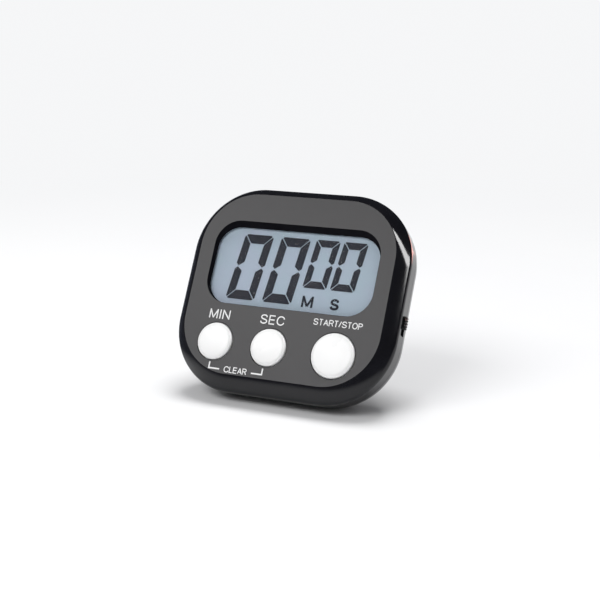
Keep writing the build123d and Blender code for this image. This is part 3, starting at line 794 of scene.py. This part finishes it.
def makeDigits(s):
    # two big and two small zeros, every outline drawn in by half a gap and leant by its height
    gap, outlines = s["gap"], []
    for size in ("big", "small"):
        d = dict(s[size])
        for part in ("width", "height", "upright", "bar"):
            d[part] += gap                  # the gaps take this back
        d["left"] -= gap / 2
        d["top"] += gap / 2
        corner = s["corner"] * d["height"] / s["big"]["height"]
        for k in range(2):
            for segment in zeroSegments(d, corner):
                pts = insetOutline(np.array(segment), gap / 2)
                lean = (pts[:, 1] - d["height"]) * s["slant"]
                u = pts[:, 0] + lean + d["left"] + k * d["pitch"]
                v = pts[:, 1] + d["top"] - d["height"]
                outlines.append(np.stack([u, v], 1))
    addPiece("lcd_digits", flatPrism("lcd_digits", outlines, **ink), lcdInk, "case", smooth=False)


makeDigits(digitSet)


def spline(points, steps=7):
    # a soft curve through points
    p = np.array(points, float)
    p = np.concatenate([[2 * p[0] - p[1]], p, [2 * p[-1] - p[-2]]])
    t = np.linspace(0, 1, steps, endpoint=False)[:, None]
    a, b, c, d = p[:-3, None], p[1:-2, None], p[2:-1, None], p[3:, None]
    square, cube = 2 * a - 5 * b + 4 * c - d, 3 * b - a - 3 * c + d
    curve = 0.5 * (2 * b + (c - a) * t + square * t ** 2 + cube * t ** 3)
    return np.concatenate([curve.reshape(-1, 2), p[-2:-1]])


bowl = [
    (0, 1), (0.45, 1), (0.68, 0.985), (0.9, 0.9), (1, 0.745),
    (0.9, 0.59), (0.68, 0.5), (0.45, 0.485), (0, 0.485),
]
hook = [
    (1, 0.72), (0.87, 0.91), (0.52, 1), (0.15, 0.87), (0, 0.5),
    (0.15, 0.13), (0.52, 0), (0.87, 0.09), (1, 0.3),
]
snake = [
    (0.96, 0.76), (0.82, 0.94), (0.48, 1), (0.14, 0.92), (0.03, 0.73), (0.17, 0.58), (0.5, 0.5),
    (0.85, 0.41), (1, 0.25), (0.85, 0.07), (0.5, 0), (0.14, 0.07), (0, 0.26),
]
oval = [(0.5 + 0.5 * math.cos(a), 0.5 + 0.5 * math.sin(a)) for a in np.linspace(0, 2 * math.pi, 41)]
glyphs = {      # width against cap height, then the strokes inside a unit box
    "M": (0.98, [[(0, 0), (0, 1)], [(0.03, 1), (0.5, 0)], [(0.5, 0), (0.97, 1)], [(1, 1), (1, 0)]]),
    "I": (0.12, [[(0.5, 0), (0.5, 1)]]),
    "N": (0.86, [[(0, 0), (0, 1)], [(0.03, 1), (0.97, 0)], [(1, 0), (1, 1)]]),
    "S": (0.8, [spline(snake)]),
    "E": (0.72, [[(0, 0), (0, 1)], [(0, 1), (1, 1)], [(0, 0.51), (0.94, 0.51)], [(0, 0), (1, 0)]]),
    "C": (0.88, [spline(hook)]),
    "T": (0.68, [[(0, 1), (1, 1)], [(0.5, 0), (0.5, 1)]]),
    "A": (0.78, [[(0, 0), (0.5, 1)], [(0.5, 1), (1, 0)], [(0.17, 0.33), (0.83, 0.33)]]),
    "R": (0.74, [[(0, 0), (0, 1)], spline(bowl), [(0.62, 0.485), (1, 0)]]),
    "P": (0.7, [[(0, 0), (0, 1)], spline(bowl)]),
    "O": (0.86, [oval]),
    "L": (0.62, [[(0, 1), (0, 0)], [(0, 0), (1, 0)]]),
    "/": (0.42, [[(0, 0), (1, 1)]]),
}


def strokeBar(line, thick, low, high):
    # a flat bar of even width along a line, ends cut square
    p = np.array(line, float)
    d = np.gradient(p, axis=0) if len(p) > 2 else np.repeat(p[1:] - p[:1], 2, axis=0)
    d /= np.linalg.norm(d, axis=1)[:, None]
    side = np.stack([-d[:, 1], d[:, 0]], 1) * thick / 2
    left, right = p + side, p - side
    ring = [onFace(q[:, 0], q[:, 1], h) for q, h in ((right, low), (right, high), (left, high), (left, low))]
    return np.stack(ring, axis=1)


def lettering(name, text, centre, cap, width, thick, material, slot, low, high):
    # a word drawn with even strokes and spread to the given width
    sizes = [cap * glyphs[ch][0] for ch in text]
    gap = (width - sum(sizes)) / max(len(text) - 1, 1)
    if len(text) == 1:
        sizes = [width]
    verts, faces, count, left = [], [], 0, centre[0] - width / 2
    for ch, size in zip(text, sizes):
        for line in glyphs[ch][1]:
            p = np.array(line, float)
            # strokes that lie across keep within the cap height; plain uprights run its full length
            inset = thick * (np.ptp(p[:, 0]) > 0)
            u = left + thick / 2 + p[:, 0] * max(size - thick, 0)
            v = centre[1] - cap / 2 + inset / 2 + p[:, 1] * (cap - inset)
            rows = strokeBar(np.stack([u, v], 1), thick, low, high)
            n = len(rows)
            idx = np.arange(n * 4).reshape(n, 4) + count
            a, b = idx[:-1], idx[1:]
            quads = np.stack([a, b, np.roll(b, -1, axis=1), np.roll(a, -1, axis=1)], axis=-1)
            faces += quads.reshape(-1, 4).tolist()
            faces += [idx[0].tolist(), idx[-1][::-1].tolist()]
            verts.append(rows.reshape(-1, 3))
            count += n * 4
        left += size + gap
    mesh = bpy.data.meshes.new(name)
    mesh.from_pydata(np.concatenate(verts), [], faces)
    addPiece(name, mesh, material, "case", smooth=False)


words = {       # centre, cap height, width and stroke in mm
    "print_min": ("MIN", (-19.3, -10.0), 2.75, 6.6, 0.34),
    "print_sec": ("SEC", (-2.5, -9.95), 2.75, 7.5, 0.34),
    "print_start": ("START/STOP", (17.3, -8.95), 1.85, 14.7, 0.25),
    "print_clear": ("CLEAR", (-10.75, -25.75), 1.8, 7.2, 0.25),
    "lcd_m": ("M", (6.0, -3.1), 3.35, 3.5, 0.64),
    "lcd_s": ("S", (14.3, -3.1), 3.3, 2.75, 0.7),
}
for name, (text, place, cap, width, thick) in words.items():
    printed = name.startswith("print")
    lettering(
        name, text, (place[0] * mm, place[1] * mm), cap * mm, width * mm, thick * mm,
        printWhite if printed else lcdInk, "button" if printed else "lcd", **(paint if printed else ink))


bracketForm = dict(
    left=-19.4 * mm, right=-2.2 * mm, base=-26.1 * mm, gapLeft=-15.8 * mm, gapRight=-5.7 * mm,
    rise=2.0 * mm, line=0.42 * mm,
)


def makeBracket(f):
    # the printed bracket under two buttons, open in the middle for its word
    base, line = f["base"], f["line"]

    def elbow(low, high, upright):
        bar = [(low, base), (high, base), (high, base + line), (low, base + line)]
        top = base + f["rise"]
        post = [(upright, base), (upright + line, base), (upright + line, top), (upright, top)]
        return [np.array(bar), np.array(post)]

    rightPost = f["right"] - line
    outlines = elbow(f["left"] + line, f["gapLeft"], f["left"]) + elbow(f["gapRight"], rightPost, rightPost)
    mesh = flatPrism("print_bracket", outlines, **paint)
    addPiece("print_bracket", mesh, printWhite, "case", smooth=False)


makeBracket(bracketForm)
print("display and print")

# the stage: camera, floor, lamps and room
makeCamera(cameraSet)
floorPaint = plastic(
    "paleFloor", (0.86, 0.86, 0.87), (0.89, 0.89, 0.89), rough=(0.55, 0.65),
    grainScale=300, bump=0, toneScale=3)
span = np.linspace(-6, 6, 13)
floorGrid = np.stack([*np.meshgrid(span, span, indexing="ij"), np.zeros((13, 13))], axis=-1)
addPiece("floor", gridMesh("floor", floorGrid), floorPaint)
backdrop = (0.92, 0.925, 0.935)     # the tone behind everything, as the camera sees it


def shadeFloor(mat, edges, dim):
    # painted reflection: glossy surfaces see the floor pale under and behind the timer and a painted dark tone
    # elsewhere, though the floor itself is pale everywhere
    nt, link = mat.node_tree.nodes, mat.node_tree.links.new
    shader = nt["Principled BSDF"]
    shader.inputs["Specular IOR Level"].default_value = 0
    pale = shader.inputs["Base Color"].links[0].from_socket
    coord = nt.new("ShaderNodeTexCoord")
    split = nt.new("ShaderNodeSeparateXYZ")
    link(coord.outputs["Object"], split.inputs["Vector"])
    path = nt.new("ShaderNodeLightPath")
    steps = [softStep(nt, link, split.outputs[axis], *ends) for axis, ends in edges.items()]
    away = mathNode(nt, link, "SUBTRACT", 1, mathNode(nt, link, "MULTIPLY", *steps))
    seen = mathNode(nt, link, "MULTIPLY", path.outputs["Is Glossy Ray"], away)
    link(colourMix(nt, link, seen, pale, dim), shader.inputs["Base Color"])


def fadeFloor(mat, near, far, glow):
    # towards the distance the camera sees the floor pass into the backdrop's own tone
    nt, link = mat.node_tree.nodes, mat.node_tree.links.new
    shader = nt["Principled BSDF"]
    own = shader.inputs["Base Color"].links[0].from_socket
    coord = nt.new("ShaderNodeTexCoord")
    reach = nt.new("ShaderNodeVectorMath")
    reach.operation = "LENGTH"
    link(coord.outputs["Object"], reach.inputs[0])
    path = nt.new("ShaderNodeLightPath")
    step = softStep(nt, link, reach.outputs["Value"], near, far)
    fade = mathNode(nt, link, "MULTIPLY", step, path.outputs["Is Camera Ray"])
    link(colourMix(nt, link, fade, own, (0, 0, 0)), shader.inputs["Base Color"])
    shader.inputs["Emission Color"].default_value = (*glow, 1)
    link(fade, shader.inputs["Emission Strength"])


# the last colour is the painted dark tone that glossy surfaces see on the floor away from the timer
shadeFloor(floorPaint, dict(X=(-0.08, -0.04), Y=(-0.042, -0.03)), (0.06, 0.065, 0.085))
fadeFloor(floorPaint, 0.1, 0.45, backdrop)

# fillBox only lights; the others are only mirrored by glossy surfaces
lamps = {
    "fillBox": dict(place=(-0.35, -0.9, 0.95), size=(0.8, 0.6), power=8, mirrored=False),
    "sheenBox": dict(place=(-0.55, -0.95, 0.85), size=(0.9, 0.5), power=5, lights=False),
    "sideBox": dict(place=(0.76, 0.09, 0.6), size=(0.18, 0.8), power=9, lights=False),
    "warmCard": dict(
        place=(0.1, 0.27, 0.03), size=(0.14, 0.05), power=0.13, colour=(1, 0.42, 0.36), lights=False),
}
for name, lamp in lamps.items():
    softBox(name, target=tuple(panelCentre), **lamp)


def overheadSun(aim, strength, spread):
    # a wide sun that leaves the contact shadow; glossy surfaces don't mirror it
    data = bpy.data.lights.new("overheadSun", "SUN")
    data.energy = strength
    data.angle = math.radians(spread)
    lamp = bpy.data.objects.new("overheadSun", data)
    lamp.visible_glossy = False
    bpy.context.scene.collection.objects.link(lamp)
    lamp.matrix_world = Vector(aim).to_track_quat("-Z", "Y").to_matrix().to_4x4()


overheadSun((-0.01, -0.29, -1), 2.0, 30)


worldSet = dict(
    low=(0.04, 0.043, 0.055), high=(0.015, 0.017, 0.023), reach=0.22,
    room=(0.3, 0.303, 0.31), backdrop=backdrop,
)


def makeWorld(s):
    # an even room lights the scene; glossy surfaces see a dark one and the camera a pale backdrop
    world = bpy.data.worlds.new("world")
    bpy.context.scene.world = world
    world.use_nodes = True
    nt, link = world.node_tree.nodes, world.node_tree.links.new
    coord = nt.new("ShaderNodeTexCoord")
    split = nt.new("ShaderNodeSeparateXYZ")
    link(coord.outputs["Generated"], split.inputs["Vector"])
    ramp = nt.new("ShaderNodeValToRGB")
    link(split.outputs["Z"], ramp.inputs["Fac"])
    stops = ramp.color_ramp.elements
    stops[0].position, stops[0].color = 0.0, (*s["low"], 1)
    stops[1].position, stops[1].color = s["reach"], (*s["high"], 1)
    path = nt.new("ShaderNodeLightPath")
    mirrored = nt.new("ShaderNodeMix")
    mirrored.data_type = "RGBA"
    link(path.outputs["Is Glossy Ray"], mirrored.inputs["Factor"])
    mirrored.inputs["A"].default_value = (*s["room"], 1)
    link(ramp.outputs["Color"], mirrored.inputs["B"])
    seen = colourMix(nt, link, path.outputs["Is Camera Ray"], mirrored.outputs["Result"], s["backdrop"])
    link(seen, nt["Background"].inputs["Color"])


makeWorld(worldSet)
bpy.context.scene.view_settings.view_transform = "Standard"
print("stage")
